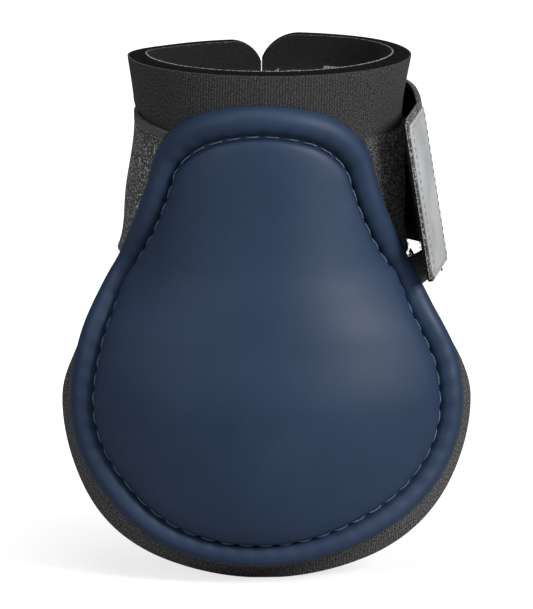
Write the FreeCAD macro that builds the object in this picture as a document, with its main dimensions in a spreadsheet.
import FreeCAD, Part
import math
import os

import Sketcher
from BOPTools import SplitAPI
from FreeCAD import Rotation, Vector

# A fetlock boot for one hind leg of a horse: a moulded shell with a rolled rim, sewn to a laminated
# neoprene liner whose two wings close round the leg behind, under a wide hook and loop strap.
#
# Frame: +Z up the leg, the shell faces -Y, and the leg's axis runs through the origin, which is
# level with the boot's lowest edge. Millimetres.
#
# The whole boot lies on one curved form, the liner's outer face. A place on it is an angle and a
# height. The angle is 0 at the front, 90 at the boot's left side (-X), 180 at the back and 270 at
# its right side (+X). Every layer is a sheet at its own depth, out from that face or in from it.

# ---------------------------------------------------------------- driving dimensions

DIMENSIONS = {
    # laminated liner, measured inwards from the form
    "jersey_thickness": 0.5,
    "foam_thickness": 5.0,
    "glue_line": 0.1,
    # where the soft parts turn: the gap left at each fold line
    "fold_gap": 1.2,
    "wing_fold_angle": 80,
    "strap_fold_angle": 232,
    "tab_fold_angle": 270,
    "cuff_flap_angle": 8,
    # wings
    "cuff_base": 99.5,
    "cuff_top": 162.5,
    "left_wing_top": 161.0,
    "right_wing_top": 163.2,
    "left_wing_corner": 11,
    "right_wing_corner": 13,
    "wing_parting_angle": 176.8,
    "wing_parting": 0.5,
    # shell, on the outer jersey
    "shell_top": 153.2,
    "shell_crown_radius": 56,
    "shell_crown_turn": 18,
    "shell_corner_radius": 26,
    "shell_half_width": 61.4,
    "shell_belly_height": 56,
    "shell_bottom": 6.2,
    "shell_flank_radius": 57,
    "shell_flank_turn": 28,
    "shell_shoulder_turn": 13,
    "side_share": 0.89,
    "side_room": 0.09,
    "shell_lean": 1.45,
    "shell_toe_lean": -2.6,
    "shell_toe_height": 28,
    "shell_top_lean": -1.25,
    "shell_top_height": 66,
    "shell_lean_ease": 22,
    "liner_border_toe": 9.8,
    "liner_border": 7.4,
    "liner_border_ankle": 3.0,
    "plate_thickness": 0.9,
    "panel_thickness": 2.6,
    "rim_width": 9.4,
    "rim_width_bottom": 7.6,
    "rim_height": 4.4,
    "groove_width": 1.8,
    "stitch_pitch": 6.0,
    "stitch_length": 4.5,
    "thread_radius": 0.3,
    "seam_inset": 0.75,
    "fine_stitch_pitch": 2.4,
    "fine_stitch_length": 1.7,
    "fine_thread_radius": 0.2,
    # strap
    "ply_thickness": 0.75,
    "strap_clearance": 0.3,
    "root_base": 100,
    "root_edge_angle": 1.2,
    "root_stitch_start": 6.5,
    "root_stitch_end": 3,
    "root_stitch_drop": 0.7,
    "root_stitches": 6,
    "strap_top_front": 139.7,
    "strap_top_high": 152,
    "strap_base_back": 100,
    "strap_end_top": 147.5,
    "strap_end_base": 96,
    "strap_end_top_out": 50,
    "strap_end_base_out": 58,
    "strap_bulge": 2.5,
    "strap_bulge_angle": 200,
    "strap_bulge_rise": 1.4,
    "strap_level_turn": 60,
    "hem_height": 2.4,
    "hem_thickness": 0.5,
    # loop pile, and the hooks that grip it
    "loop_thickness": 1.2,
    "loop_base": 100,
    "loop_top": 140.5,
    "loop_end_angle": 222,
    "loop_rise": 0.07,
    "hook_thickness": 1.0,
    "hook_margin": 4.0,
    "hook_start_turn": 6,
    # pull tab: the flat free end of the strap
    "tab_length": 28.5,
    "tab_turn_in": 8.5,
    "facing_start": 1,
    "facing_length": 27,
    "facing_margin": 0.5,
    "facing_thickness": 0.7,
    "tab_stitch_pitch": 2.6,
    "tab_seam_inset": 2.0,
}

# The form at ten heights: half width, front depth, radius of the front arc, depth of the back arc
# from the same centre, and how far the section leans to +X.
STATIONS = {
    "tip": (-3.5, 76, 23.5, 74, 33, -2.0),
    "curl": (14.5, 76, 38, 74, 33, -0.8),
    "lower": (32.5, 76, 44, 74, 33, 0.6),
    "belly": (56.5, 76, 46.5, 74, 33, 1.2),
    "flare": (76.5, 69, 43.5, 66, 34, 0.9),
    "ankle": (89.5, 53.5, 41, 49, 35, 0.8),
    "cuff": (101, 44.2, 38.8, 39.5, 34, 0.8),
    "strap": (122.5, 42.5, 36, 36.5, 33, 1.3),
    "neck": (145.5, 42.1, 34.5, 35, 32, 1.9),
    "mouth": (162.5, 44.6, 36, 36, 33.5, 2.3),
}
COLUMNS = ("height", "half_width", "front", "front_arc", "back_arc", "lean")

doc = FreeCAD.newDocument("fetlock_boot")
sheet = doc.addObject("Spreadsheet::Sheet", "dimensions")


def fill_sheet():
    cells = dict(DIMENSIONS)
    ends = [(cells[f"strap_end_{n}_out"], cells[f"strap_end_{n}"]) for n in ("top", "base")]
    cells["tab_height"] = round(math.dist(*ends), 3)
    for station, values in STATIONS.items():
        cells.update({f"{station}_{column}": value for column, value in zip(COLUMNS, values)})
    for row, (alias, value) in enumerate(cells.items(), start=1):
        sheet.set(f"A{row}", alias)
        sheet.set(f"B{row}", str(value))
        sheet.setAlias(f"B{row}", alias)
    doc.recompute()


def size(alias):
    return float(sheet.get(alias))


fill_sheet()

# ---------------------------------------------------------------- the form

HEIGHTS = [size(f"{station}_height") for station in STATIONS]


def along(column, height):
    """A form column at any height: a smooth curve through the stations."""
    values = [size(f"{station}_{column}") for station in STATIONS]
    i = max(0, min(len(HEIGHTS) - 2, sum(h <= height for h in HEIGHTS) - 1))

    def slope(k):
        low, high = max(0, k - 1), min(len(HEIGHTS) - 1, k + 1)
        return (values[high] - values[low]) / (HEIGHTS[high] - HEIGHTS[low])

    span = HEIGHTS[i + 1] - HEIGHTS[i]
    s = (height - HEIGHTS[i]) / span
    return (
        (2 * s**3 - 3 * s**2 + 1) * values[i]
        + (s**3 - 2 * s**2 + s) * span * slope(i)
        + (3 * s**2 - 2 * s**3) * values[i + 1]
        + (s**3 - s**2) * span * slope(i + 1)
    )


def ease(s):
    s = max(0.0, min(1.0, s))
    return s * s * (3 - 2 * s)


def section(height):
    return [along(column, height) for column in COLUMNS[1:]]


def form_face(angle, height, columns=None):
    """The point on the liner's outer face."""
    half, front, front_arc, back_arc, lean = columns or section(height)
    a = math.radians(angle)
    arc = front_arc if math.cos(a) > 0 else back_arc
    return Vector(lean - half * math.sin(a), front_arc - front - arc * math.cos(a), height)


def form(angle, height, out=0.0):
    """The point that far out from the liner's outer face, along its normal."""
    step = 0.02
    around = form_face(angle + step, height) - form_face(angle - step, height)
    up = form_face(angle, height + step) - form_face(angle, height - step)
    normal = up.cross(around)
    return form_face(angle, height) + normal.normalize() * out


def angle_at(across, height):
    """The front angle where the form is that far across, negative to +X."""
    half, lean = along("half_width", height), along("lean", height)
    return -math.degrees(math.asin(max(-0.999, min(0.999, (across - lean) / half))))


def angle_within(across, height):
    """angle_at, but what is nearly as wide as the form or wider ends short of its side."""
    half, lean = along("half_width", height), along("lean", height)
    share, start = abs(across - lean) / half, size("side_share")
    room = size("side_room")
    share = min(share, start) + room * math.tanh(max(0.0, share - start) / room)
    return angle_at(lean + math.copysign(share * half, across - lean), height)


# ---------------------------------------------------------------- solids from the form

FINE, COARSE = 25, 13
GLUE = size("glue_line")
MIDDLE_HEIGHT = 80


def grid_face(at, out, across, up):
    surface = Part.BSplineSurface()
    surface.interpolate(
        [[at(i / (across - 1), j / (up - 1), out) for j in range(up)] for i in range(across)]
    )
    return surface


def sheet_solid(at, inner, outer, across=FINE, up=COARSE):
    """A sheet between two depths. at(u, v, out) gives its points, u and v from 0 to 1."""
    low, high = grid_face(at, inner, across, up), grid_face(at, outer, across, up)
    faces = [low.toShape(), high.toShape()]
    u0, u1, v0, v1 = low.bounds()
    sides = [(s.uIso(u0), s.uIso(u1), s.vIso(v0), s.vIso(v1)) for s in (low, high)]
    for near, far in zip(*sides):
        faces.append(Part.makeRuledSurface(near.toShape(), far.toShape()))
    shell = Part.makeShell(faces)
    shell.sewShape()
    solid = Part.makeSolid(shell)
    if solid.Volume < 0:
        solid.reverse()
    return solid


def on_form(first_angle, last_angle, base, top):
    """A sheet's points on the form. Each limit is a number or a function of the other way."""
    value = lambda limit, x: limit(x) if callable(limit) else limit

    def at(u, v, out):
        height = None
        for _ in range(3):
            middle = 120 if height is None else height
            angle = value(first_angle, middle) * (1 - u) + value(last_angle, middle) * u
            height = value(base, angle) * (1 - v) + value(top, angle) * v
        return form(angle, height, out)

    return at


def spline(points, closed=False):
    curve = Part.BSplineCurve()
    curve.interpolate(points, PeriodicFlag=closed)
    return curve.toShape()


def cut_sheet(at, inner, outer, outline, closed=True):
    """The middle piece of a sheet, inside a wall that stands square to the form on an outline."""
    reach = 9
    edges = [spline([form(a, h, out) for a, h in outline], closed) for out in (-reach, reach)]
    wall = Part.makeRuledSurface(*edges)
    blank = sheet_solid(at, inner, outer, up=FINE)
    middle = form(0, MIDDLE_HEIGHT, (inner + outer) / 2)
    return [
        piece
        for piece in SplitAPI.slice(blank, [wall], "Split").Solids
        if piece.isInside(middle, 0.01, False)
    ][0]


# ---------------------------------------------------------------- the shell's outline


def pear_half():
    """(across, height) as seen from the front, from the bottom of the shell up its +X side to
    the top: a half ellipse, a flank arc, a straight, a hollow arc up to the shoulder, a corner
    arc and a crown arc."""
    wide, middle = size("shell_half_width"), size("shell_belly_height")
    deep = middle - size("shell_bottom")
    flank, corner = size("shell_flank_radius"), size("shell_corner_radius")
    turns = (math.radians(size(f"shell_{n}_turn")) for n in ("flank", "shoulder", "crown"))
    turn, shoulder, crown_turn = turns
    crown = size("shell_crown_radius")
    crown_z = size("shell_top") - crown
    corner_x = (crown - corner) * math.sin(crown_turn)
    corner_z = crown_z + (crown - corner) * math.cos(crown_turn)
    start = Vector(wide - flank * (1 - math.cos(turn)), middle + flank * math.sin(turn), 0)
    end = Vector(corner_x + corner * math.cos(shoulder), corner_z + corner * math.sin(shoulder), 0)
    # the hollow arc is tangent to the straight that leaves the flank, and to the corner arc
    line = Vector(-math.sin(turn), math.cos(turn), 0)
    spread = Vector(math.cos(shoulder) - math.cos(turn), math.sin(shoulder) - math.sin(turn), 0)
    gap = end - start
    hollow = -(gap.x * line.y - gap.y * line.x) / (spread.x * line.y - spread.y * line.x)
    centre = end + Vector(math.cos(shoulder), math.sin(shoulder), 0) * hollow

    def arc(centre_x, centre_z, across, up, first, last):
        angles = [first + (last - first) * i / ARC_POINTS for i in range(1, ARC_POINTS + 1)]
        return [(centre_x + across * math.cos(a), centre_z + up * math.sin(a)) for a in angles]

    points = [(0.0, size("shell_bottom"))]
    points += arc(0, middle, wide, deep, -math.pi / 2, 0)
    points += arc(wide - flank, middle, flank, flank, 0, turn)
    points += arc(centre.x, centre.y, -hollow, -hollow, turn, shoulder)
    points += arc(corner_x, corner_z, corner, corner, shoulder, math.pi / 2 - crown_turn)
    points += arc(0, crown_z, crown, crown, math.pi / 2 - crown_turn, math.pi / 2)
    return points


def even(points, count):
    """The same closed line, as evenly spaced points."""
    points = points + points[:1]
    lengths = [0.0]
    for a, b in zip(points, points[1:]):
        lengths.append(lengths[-1] + math.dist(a, b))
    spaced, k = [], 0
    for i in range(count):
        want = lengths[-1] * i / count
        while lengths[k + 1] < want:
            k += 1
        s = (want - lengths[k]) / (lengths[k + 1] - lengths[k])
        spaced.append(tuple(p + (q - p) * s for p, q in zip(points[k], points[k + 1])))
    return spaced


OUTLINE_POINTS = 64
ARC_POINTS = 24


def lean_at(height, toe):
    """How far the outline leans to +X. Its toe and its top may lean another way."""
    span = size("shell_lean_ease")
    low = ease((size("shell_toe_height") - height) / span)
    high = ease((height - size("shell_top_height")) / span)
    return size("shell_lean") + toe * low + size("shell_top_lean") * high


def pear(toe):
    """The shell's foot as (angle, height), closed, evenly spaced, from the bottom round by +X.
    The rim roll bulges past its foot where the form slopes away, so the foot lies inside the
    outline that shows from the front."""
    half = pear_half()
    whole = half + [(-x, z) for x, z in reversed(half[1:-1])]
    line = even([(lean_at(z, toe) + x, z) for x, z in whole], OUTLINE_POINTS)
    foot = []
    for i, (x, z) in enumerate(line):
        (x0, z0), (x1, z1) = line[i - 1], line[(i + 1) % OUTLINE_POINTS]
        run = math.dist((x0, z0), (x1, z1))
        outward = Vector((z1 - z0) / run, 0, (x0 - x1) / run)
        for _ in range(3):
            place = (angle_within(x, z), z)
            slope = (form(*place, 1.0) - form(*place)).dot(outward)
            half_roll = rim_width(z) / 2 * math.sqrt(1 - slope**2)
            bulge = math.hypot(half_roll, size("rim_height") * slope) - half_roll
            inset = 0.75 * (bulge + (size("plate_thickness") + 2 * GLUE) * slope)
            x, z = line[i][0] - outward.x * inset, line[i][1] - outward.z * inset
        foot.append((angle_within(x, z), z))
    return foot


def moved_in(outline, distance):
    """An outline moved inwards over the form, by a number or a function of the height."""
    moved = []
    for i, (angle, height) in enumerate(outline):
        here = form(angle, height)
        before, after = (form(*outline[(i + k) % len(outline)]) for k in (-1, 1))
        tangent = (after - before).normalize()
        normal = (form(angle, height, 1.0) - here).normalize()
        step = normal.cross(tangent) * (distance(height) if callable(distance) else distance)
        target = here + step
        moved.append((angle_at(target.x, target.z), target.z))
    return moved


def rim_width(height):
    share = ease((height - size("shell_bottom")) / size("shell_belly_height"))
    return size("rim_width_bottom") + (size("rim_width") - size("rim_width_bottom")) * share


def liner_border(height):
    toe, side, ankle = (size(f"liner_border{n}") for n in ("_toe", "", "_ankle"))
    low, belly, flare = size("shell_bottom"), size("shell_belly_height"), size("flare_height")
    if height < belly:
        return toe + (side - toe) * ease((height - low) / (belly - low))
    return side + (ankle - side) * ease((height - belly) / (flare - belly))


FOOT = pear(size("shell_toe_lean"))
PANEL_EDGE = moved_in(FOOT, lambda z: rim_width(z) + size("groove_width"))
SEAM_LINE = moved_in(FOOT, lambda z: rim_width(z) + size("seam_inset"))


def foot_angle(side, extra):
    """The angle of the shell's side edge at a height, moved out by extra degrees."""
    edge = sorted((h, abs(a)) for a, h in FOOT if a * side > 0)

    def at(height):
        for (h0, a0), (h1, a1) in zip(edge, edge[1:]):
            if h0 <= height <= h1 and h0 >= size("shell_belly_height"):
                return side * (a0 + (a1 - a0) * (height - h0) / (h1 - h0) + extra)
        return side * (edge[-1][1] + extra)

    return at


# ---------------------------------------------------------------- document objects

made = []


def add(label, shape):
    item = doc.addObject("Part::Feature", label)
    item.Label = label
    item.Shape = shape
    made.append(item)
    return item


def body(label, place, pads):
    """A PartDesign body of pads on its own XY plane. A pad is a sketch function and the cell
    that holds its thickness."""
    item = doc.addObject("PartDesign::Body", label)
    item.Label = label
    plane = [f for f in item.Origin.OriginFeatures if f.Role == "XY_Plane"][0]
    for number, (draw, thickness) in enumerate(pads):
        sketch = item.newObject("Sketcher::SketchObject", f"{label}_sketch{number}")
        sketch.AttachmentSupport = [(plane, "")]
        sketch.MapMode = "FlatFace"
        draw(sketch)
        doc.recompute()
        pad = item.newObject("PartDesign::Pad", f"{label}_pad{number}")
        pad.Profile = sketch
        pad.setExpression("Length", f"dimensions.{thickness}")
        doc.recompute()
        item.Tip = pad
    item.Placement = place
    made.append(item)
    return item


def rectangle(left, right, base, top):
    """A sketch function: a rectangle whose sides are expressions of the sheet."""

    def draw(sketch):
        corners = [(0, 0), (10, 0), (10, 20), (0, 20)]
        for a, b in zip(corners, corners[1:] + corners[:1]):
            sketch.addGeometry(Part.LineSegment(Vector(*a, 0), Vector(*b, 0)))
        for i in range(4):
            sketch.addConstraint(Sketcher.Constraint("Coincident", i, 2, (i + 1) % 4, 1))
        for i, kind in enumerate(("Horizontal", "Vertical", "Horizontal", "Vertical")):
            sketch.addConstraint(Sketcher.Constraint(kind, i))
        limits = [("DistanceX", 3, left), ("DistanceX", 1, right)]
        limits += [("DistanceY", 0, base), ("DistanceY", 2, top)]
        for kind, edge, expression in limits:
            index = sketch.addConstraint(Sketcher.Constraint(kind, -1, 1, edge, 1, 10.0 + edge))
            sketch.setExpression(f"Constraints[{index}]", expression)

    return draw


# ---------------------------------------------------------------- liner

JERSEY, FOAM = size("jersey_thickness"), size("foam_thickness")
LINER_LAYERS = {
    "outer_jersey": (-JERSEY, 0.0),
    "foam": (-JERSEY - GLUE - FOAM, -JERSEY - GLUE),
    "inner_jersey": (-2 * JERSEY - 2 * GLUE - FOAM, -JERSEY - 2 * GLUE - FOAM),
}
FOLD = size("wing_fold_angle")
# half the fold gap as an angle, on the 45 mm radius of the cuff's side
HALF_GAP = math.degrees(size("fold_gap") / 2 / size("cuff_half_width"))


def liner_outline():
    """The front liner's free edge: down one side from the cuff, round the toe, up the other."""
    edge = moved_in(pear(0.0), lambda z: -liner_border(z))
    cuff, flap = size("cuff_base"), size("cuff_flap_angle")
    right = [p for p in edge[1 : OUTLINE_POINTS // 2] if p[1] < cuff - flap / 2]
    left = [p for p in edge[OUTLINE_POINTS // 2 :] if p[1] < cuff - flap / 2]
    reach = [(FOLD - flap / 2, cuff), (FOLD + flap, cuff)]
    return (
        [(-a, h) for a, h in reversed(reach)]
        + right[::-1]
        + [edge[0]]
        + left[::-1]
        + reach
    )


def front_liner():
    limit = FOLD - HALF_GAP
    at = on_form(-limit, limit, size("tip_height"), size("cuff_top"))
    for layer, (inner, outer) in LINER_LAYERS.items():
        add(f"liner_front_{layer}", cut_sheet(at, inner, outer, liner_outline(), closed=False))


def rounded_top(side, fold, free_angle):
    """The wing's top edge: it leaves the fold level with the front and ends in a round corner."""
    radius, high = size(f"{side}_wing_corner"), size(f"{side}_wing_top")

    def top(angle):
        turned = ease(abs(angle - fold) / size("strap_level_turn"))
        level = size("cuff_top") + (high - size("cuff_top")) * turned
        from_edge = math.radians(abs(angle - free_angle)) * size("mouth_half_width")
        lost = max(0.0, radius - 1 - from_edge)
        return level - radius + math.sqrt(radius**2 - lost**2)

    return top


def spread(u):
    """More of the grid's lines near the free edge, where its corner turns."""
    return 1 - (1 - u) ** 2


def wing(side, first, last):
    top = rounded_top(side, first, last)
    plain = on_form(first, last, size("cuff_base"), top)
    at = lambda u, v, out: plain(spread(u), v, out)
    for layer, (inner, outer) in LINER_LAYERS.items():
        add(f"{side}_wing_{layer}", sheet_solid(at, inner, outer, across=29, up=17))


def liner():
    front_liner()
    meeting = size("wing_parting_angle")
    parting = math.degrees(size("wing_parting") / 2 / size("mouth_half_width"))
    wing("left", FOLD + HALF_GAP, meeting - parting)
    wing("right", 360 - FOLD - HALF_GAP, meeting + parting)


# ---------------------------------------------------------------- shell


def shell_plate():
    at = on_form(HALF_GAP - FOLD, FOLD - HALF_GAP, size("tip_height"), size("cuff_top"))
    outer = GLUE + size("plate_thickness")
    add("shell_base_plate", cut_sheet(at, GLUE, outer, moved_in(FOOT, 0.6)))


PLATE_OUT = GLUE + size("plate_thickness") + GLUE


def strike_panel():
    at = on_form(HALF_GAP - FOLD, FOLD - HALF_GAP, size("shell_bottom"), size("shell_top"))
    outer = PLATE_OUT + size("panel_thickness")
    add("strike_panel", cut_sheet(at, PLATE_OUT, outer, PANEL_EDGE))


def rim_section(index):
    """The rim's closed section at one point of the foot: a flat base and a domed top."""
    angle, height = FOOT[index % OUTLINE_POINTS]
    width = rim_width(height)
    inner_angle, inner_height = RIM_INNER[index % OUTLINE_POINTS]
    outer_foot = form(angle, height, PLATE_OUT)
    inner_foot = form(inner_angle, inner_height, PLATE_OUT)
    normal = form(angle, height, 1.0) + form(inner_angle, inner_height, 1.0)
    normal = (normal - form(angle, height) - form(inner_angle, inner_height)).normalize()
    middle, reach = (outer_foot + inner_foot) / 2, (inner_foot - outer_foot) / 2
    dome = []
    for i in range(9):
        a = math.pi * i / 8
        dome.append(middle - reach * math.cos(a) + normal * size("rim_height") * math.sin(a))
    base = form((angle + inner_angle) / 2, (height + inner_height) / 2, PLATE_OUT)
    return Part.Wire([spline(dome), spline([inner_foot, base, outer_foot])])


RIM_INNER = moved_in(FOOT, rim_width)


def rim_roll():
    sections = [rim_section(i) for i in range(OUTLINE_POINTS)]
    add("rim_roll", Part.makeLoft(sections, True, False, True))


def thread(points, radius):
    """One stitch as it shows: a short round length of thread between two points."""
    start, end = points
    return Part.makeCylinder(radius, (end - start).Length, start, end - start)


def stitches(line, pitch, length, radius, out, closed=True):
    """Stitches along a line of (angle, height) places."""
    places = [form(a, h, out) for a, h in line]
    curve = Part.BSplineCurve()
    curve.interpolate(places, PeriodicFlag=closed)
    total = curve.length()
    count = int(total / pitch)
    step = total / count
    threads = []
    for i in range(count):
        ends = [curve.value(curve.parameterAtDistance(step * i + d)) for d in (0, length)]
        threads.append(thread(ends, radius))
    return Part.makeCompound(threads)


def shell():
    shell_plate()
    strike_panel()
    rim_roll()
    add(
        "shell_stitches",
        stitches(
            SEAM_LINE,
            size("stitch_pitch"),
            size("stitch_length"),
            size("thread_radius"),
            PLATE_OUT + size("thread_radius") + GLUE,
        ),
    )


# ---------------------------------------------------------------- strap

INNER_PLY = size("strap_clearance")
OUTER_PLY = INNER_PLY + size("ply_thickness") + GLUE
STRAP_OUT = OUTER_PLY + size("ply_thickness")
PEEL, TAB_FOLD = size("strap_fold_angle"), size("tab_fold_angle")
BULGE_START = size("strap_bulge_angle")


def strap_top(angle):
    front, high, end = (size(f"strap_{n}") for n in ("top_front", "top_high", "end_top"))
    if angle <= PEEL:
        return front + (high - front) * angle / PEEL
    return high + (end - high) * ease((angle - PEEL) / (TAB_FOLD - PEEL))


def strap_base(angle):
    root, back = size("root_base"), size("strap_base_back")
    back = root + (back - root) * ease((angle - FOLD) / size("strap_level_turn"))
    drop = ease((angle - BULGE_START) / (TAB_FOLD - BULGE_START))
    return back + (size("strap_end_base") - back) * drop


def stand_off(angle, height):
    """How far the strap swings out to +X from the form as it nears its free end, which hangs
    in a flat plane clear of the liner."""
    share = (height - size("strap_end_base")) / (size("strap_end_top") - size("strap_end_base"))
    low, high = size("strap_end_base_out"), size("strap_end_top_out")
    side = low + (high - low) * share
    flat = side - along("half_width", height) - along("lean", height) - STRAP_OUT
    way = max(0.0, min(1.0, (angle - BULGE_START) / (TAB_FOLD - BULGE_START)))
    return flat * ease(way * size("strap_bulge_rise")) + size("strap_bulge") * math.sin(math.pi * way) ** 2


def strap_points(first, last, base=strap_base, top=strap_top):
    def at(u, v, out):
        angle = first + (last - first) * u
        height = base(angle) + (top(angle) - base(angle)) * v
        return form(angle, height, out) + Vector(stand_off(angle, height), 0, 0)

    return at


def strap_plies(name, first, last):
    at = strap_points(first, last)
    thickness = size("ply_thickness")
    add(f"{name}_inner_ply", sheet_solid(at, INNER_PLY, INNER_PLY + thickness))
    add(f"{name}_outer_ply", sheet_solid(at, OUTER_PLY, STRAP_OUT))
    hem = strap_points(first, last, lambda a: strap_top(a) - size("hem_height"))
    outer = STRAP_OUT + GLUE + size("hem_thickness")
    add(f"{name}_hem", sheet_solid(hem, STRAP_OUT + GLUE, outer))


def strap_root():
    """The sewn end, from the shell's left edge to the fold: it lies flat on the front liner."""
    edge = foot_angle(1, size("root_edge_angle"))
    last = FOLD - HALF_GAP
    outer = INNER_PLY + size("ply_thickness") * 2 + GLUE
    at = on_form(edge, last, size("root_base"), strap_top)
    add("strap_root", sheet_solid(at, 2 * GLUE, outer))
    hem = on_form(edge, last, lambda a: strap_top(a) - size("hem_height"), strap_top)
    add("strap_root_hem", sheet_solid(hem, outer + GLUE, outer + GLUE + size("hem_thickness")))
    near, far = edge(strap_top(FOLD)) + size("root_stitch_start"), last - size("root_stitch_end")
    line = []
    for i in range(int(size("root_stitches"))):
        angle = near + (far - near) * i / (size("root_stitches") - 1)
        line.append((angle, strap_top(angle) - size("hem_height") - size("root_stitch_drop")))
    pitch, length, radius = (size(f"fine_{n}") for n in ("stitch_pitch", "stitch_length", "thread_radius"))
    add("strap_root_stitches", stitches(line, pitch, length, radius, outer + radius + GLUE, False))


def strap():
    strap_root()
    gap = HALF_GAP
    strap_plies("strap_back", FOLD + gap, PEEL - gap)
    strap_plies("strap_side", PEEL + gap, TAB_FOLD - gap)
    margin = size("hook_margin")
    hooks = strap_points(
        PEEL + size("hook_start_turn"),
        TAB_FOLD - gap,
        lambda a: strap_base(a) + margin,
        lambda a: strap_top(a) - margin,
    )
    inner = INNER_PLY - GLUE - size("hook_thickness")
    add("strap_side_hooks", sheet_solid(hooks, inner, INNER_PLY - GLUE))


def loop_patches():
    """Loop pile for the hooks: one patch on the front liner beside the shell, one on the wing."""
    outer = GLUE + size("loop_thickness")
    edge = foot_angle(-1, size("root_edge_angle"))
    front = on_form(edge, -(FOLD - HALF_GAP), size("loop_base"), size("loop_top"))
    add("loop_patch_front", sheet_solid(front, GLUE, outer))
    first, last = 360 - FOLD - HALF_GAP, size("loop_end_angle")
    rise = lambda a: size("loop_top") + size("loop_rise") * (360 - FOLD - a)
    side = on_form(first, last, size("loop_base"), rise)
    add("loop_patch_side", sheet_solid(side, GLUE, outer))


# ---------------------------------------------------------------- pull tab


def tab_frame(out=0.0):
    """The flat end's placement: X from its free edge back to the fold, Y up it, Z outwards."""
    top = Vector(size("strap_end_top_out"), 0, size("strap_end_top"))
    base = Vector(size("strap_end_base_out"), 0, size("strap_end_base"))
    up = (top - base).normalize()
    turn = math.radians(size("tab_turn_in"))
    out_way = Vector(math.sin(turn), math.cos(turn), 0).cross(up).normalize()
    back = up.cross(out_way).normalize()
    fold = Vector(base.x, form_face(TAB_FOLD, size("strap_height")).y, base.z)
    start = fold - back * (size("fold_gap") / 2 + size("tab_length"))
    turned = Rotation(back, up, out_way, "ZXY")
    return FreeCAD.Placement(start + out_way * out, turned)


def tab_stitches(place):
    """A row of thread round the facing, a little in from its edge."""
    inset = size("facing_margin") + size("tab_seam_inset")
    left = size("facing_start") + size("tab_seam_inset")
    right = size("facing_start") + size("facing_length") - size("tab_seam_inset")
    high = size("tab_height") - inset
    corners = [(left, inset), (right, inset), (right, high), (left, high)]
    length, radius = size("fine_stitch_length"), size("fine_thread_radius")
    threads = []
    for a, b in zip(corners, corners[1:] + corners[:1]):
        start, run = Vector(*a, radius + GLUE), Vector(b[0] - a[0], b[1] - a[1], 0)
        count = int(run.Length / size("tab_stitch_pitch"))
        step = run / count
        lead = (step - run.normalize() * length) / 2
        for i in range(count):
            near = start + step * i + lead
            threads.append(thread([place.multVec(near), place.multVec(near + run * length)], radius))
    return Part.makeCompound(threads)


def pull_tab():
    ply = size("ply_thickness")
    cell = lambda name: f"dimensions.{name}"
    whole = rectangle("0 mm", cell("tab_length") + " * 1 mm", "0 mm", cell("tab_height") + " * 1 mm")
    body("tab_outer_ply", tab_frame(-ply), [(whole, "ply_thickness")])
    body("tab_inner_ply", tab_frame(-2 * ply - GLUE), [(whole, "ply_thickness")])
    margin = cell("hook_margin")
    hooks = rectangle(
        f"{cell('facing_start')} * 1 mm",
        f"{cell('tab_length')} * 1 mm",
        f"{margin} * 1 mm",
        f"({cell('tab_height')} - {margin}) * 1 mm",
    )
    depth = 2 * ply + 2 * GLUE + size("hook_thickness")
    body("tab_hooks", tab_frame(-depth), [(hooks, "hook_thickness")])
    edge = cell("facing_margin")
    facing = rectangle(
        f"{cell('facing_start')} * 1 mm",
        f"({cell('facing_start')} + {cell('facing_length')}) * 1 mm",
        f"{edge} * 1 mm",
        f"({cell('tab_height')} - {edge}) * 1 mm",
    )
    body("tab_facing", tab_frame(GLUE), [(facing, "facing_thickness")])
    add("tab_stitches", tab_stitches(tab_frame(GLUE + size("facing_thickness"))))


# ---------------------------------------------------------------- build, check, write


def report(item):
    shape = item.Shape
    box = shape.BoundBox
    span = " x ".join(f"{length:.1f}" for length in (box.XLength, box.YLength, box.ZLength))
    print(f"{item.Label:28s} {len(shape.Solids):3d} solids {shape.Volume:9.1f} mm3  {span} mm")


def write():
    doc.recompute()
    for item in doc.Objects:
        if "Invalid" in item.State or "Error" in item.State:
            raise RuntimeError(f"{item.Label} failed: {item.State}")
    os.makedirs("parts", exist_ok=True)
    for item in made:
        if item.Shape.isNull() or not item.Shape.isValid() or not item.Shape.Solids:
            raise RuntimeError(f"{item.Label} is not a valid solid")
        report(item)
        item.Shape.exportStep(f"parts/{item.Label}.step")


liner()
shell()
strap()
loop_patches()
pull_tab()
write()
